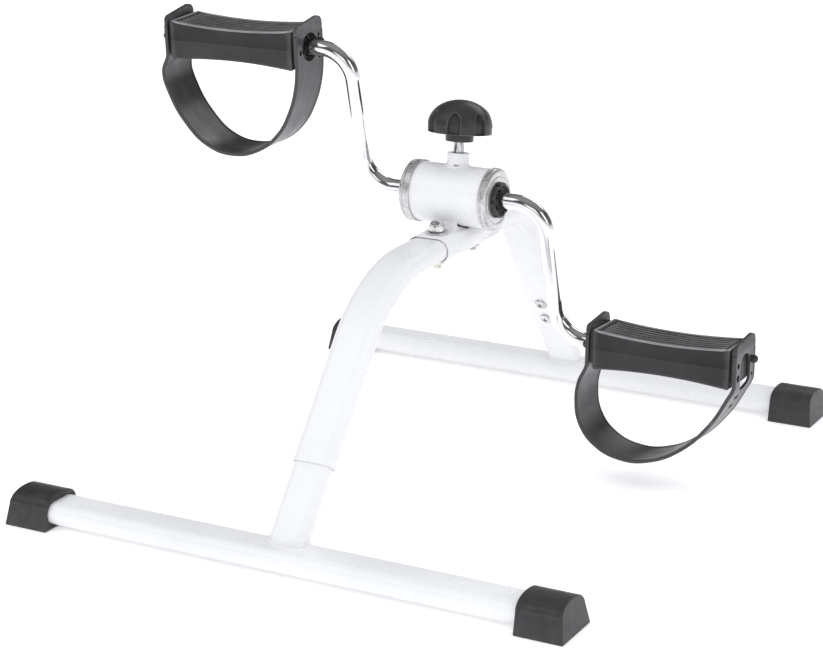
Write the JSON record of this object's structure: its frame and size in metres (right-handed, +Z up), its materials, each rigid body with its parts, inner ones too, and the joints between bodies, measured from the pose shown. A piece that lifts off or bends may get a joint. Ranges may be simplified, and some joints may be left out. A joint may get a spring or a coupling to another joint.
{
  "type": "pedal exerciser",
  "caption": "Floor-standing pedal exerciser: white flat-oval tube frame on black foot caps, chrome bent cranks, black pedals with loop straps and a tension knob.",
  "frame": {"origin": "on the floor, under the middle of the stance", "axes": "+X along the crank axis to the right, +Y from the front floor bar to the rear one, +Z up"},
  "size_m": [0.4214, 0.447, 0.3001],
  "materials": {
    "white_paint": "gloss white enamel, slightly cool",
    "black_rubber": "satin moulded rubber",
    "black_plastic": "satin moulded plastic",
    "strap_plastic": "flexible satin plastic band",
    "chrome": "bright chrome plate",
    "zinc": "bright zinc plate",
    "steel": "plain machined steel",
    "brake_felt": "pressed friction felt",
    "nylon": "natural nylon"
  },
  "bodies": {
    "frame": {"foot_cap_front_left": "black_rubber", "foot_cap_front_right": "black_rubber", "foot_cap_rear_left": "black_rubber", "foot_cap_rear_right": "black_rubber", "front_floor_bar": "white_paint", "front_leg_screw_lower": "zinc", "front_leg_screw_upper": "zinc", "front_leg_stub": "white_paint", "front_leg_tube": "white_paint", "hub_bush_left": "black_plastic", "hub_bush_right": "black_plastic", "hub_cap_left": "chrome", "hub_cap_right": "chrome", "hub_shell": "white_paint", "leg_bolt_front": "zinc", "leg_bolt_front_dome_nut": "zinc", "leg_bolt_front_washer": "zinc", "leg_bolt_rear": "zinc", "leg_bolt_rear_dome_nut": "zinc", "leg_bolt_rear_washer": "zinc", "rear_floor_bar": "white_paint", "rear_leg_screw_lower": "zinc", "rear_leg_screw_upper": "zinc", "rear_leg_stub": "white_paint", "rear_leg_tube": "white_paint", "saddle_bracket": "white_paint", "tension_boss": "white_paint"},
    "crank": {"crank_left": "chrome", "crank_pin_left": "steel", "crank_pin_right": "steel", "crank_right": "chrome", "friction_drum": "steel", "pedal_left_retainer": "steel", "pedal_right_retainer": "steel"},
    "brake": {"brake_pad": "brake_felt", "brake_shoe": "steel"},
    "knob": {"tension_knob": "black_plastic", "tension_screw": "zinc"},
    "pedal_left": {"pedal_left_body": "black_plastic", "pedal_left_inner_bush": "nylon", "pedal_left_inner_cheek": "black_plastic", "pedal_left_inner_stud": "black_plastic", "pedal_left_outer_bush": "nylon", "pedal_left_outer_cheek": "black_plastic", "pedal_left_outer_stud": "black_plastic", "strap_left": "strap_plastic"},
    "pedal_right": {"pedal_right_body": "black_plastic", "pedal_right_inner_bush": "nylon", "pedal_right_inner_cheek": "black_plastic", "pedal_right_inner_stud": "black_plastic", "pedal_right_outer_bush": "nylon", "pedal_right_outer_cheek": "black_plastic", "pedal_right_outer_stud": "black_plastic", "strap_right": "strap_plastic"}
  },
  "joints": [
    {"name": "crank_turn", "type": "hinge", "parent": "frame", "child": "crank", "pos_m": [0, 0.0244, 0.1861], "axis": [1, 0, 0], "continuous": true},
    {"name": "pedal_left_spin", "type": "hinge", "parent": "crank", "child": "pedal_left", "pos_m": [-0.155, 0.00892, 0.28064], "axis": [1, 0, 0], "continuous": true},
    {"name": "pedal_right_spin", "type": "hinge", "parent": "crank", "child": "pedal_right", "pos_m": [0.155, 0.03988, 0.09156], "axis": [1, 0, 0], "continuous": true},
    {"name": "brake_slide", "type": "slide", "parent": "frame", "child": "brake", "axis": [0, -0.1478, -0.989], "range_m": [-0.0025, 0.00063]},
    {"name": "knob_turn", "type": "hinge", "parent": "brake", "child": "knob", "pos_m": [0.001, 0.03061, 0.22764], "axis": [0, -0.1478, -0.989], "range_deg": [-720, 180]}
  ],
  "couplings": [
    {"joint": "knob_turn", "follows": "brake_slide", "rad_per_m": 5026.5}
  ]
}
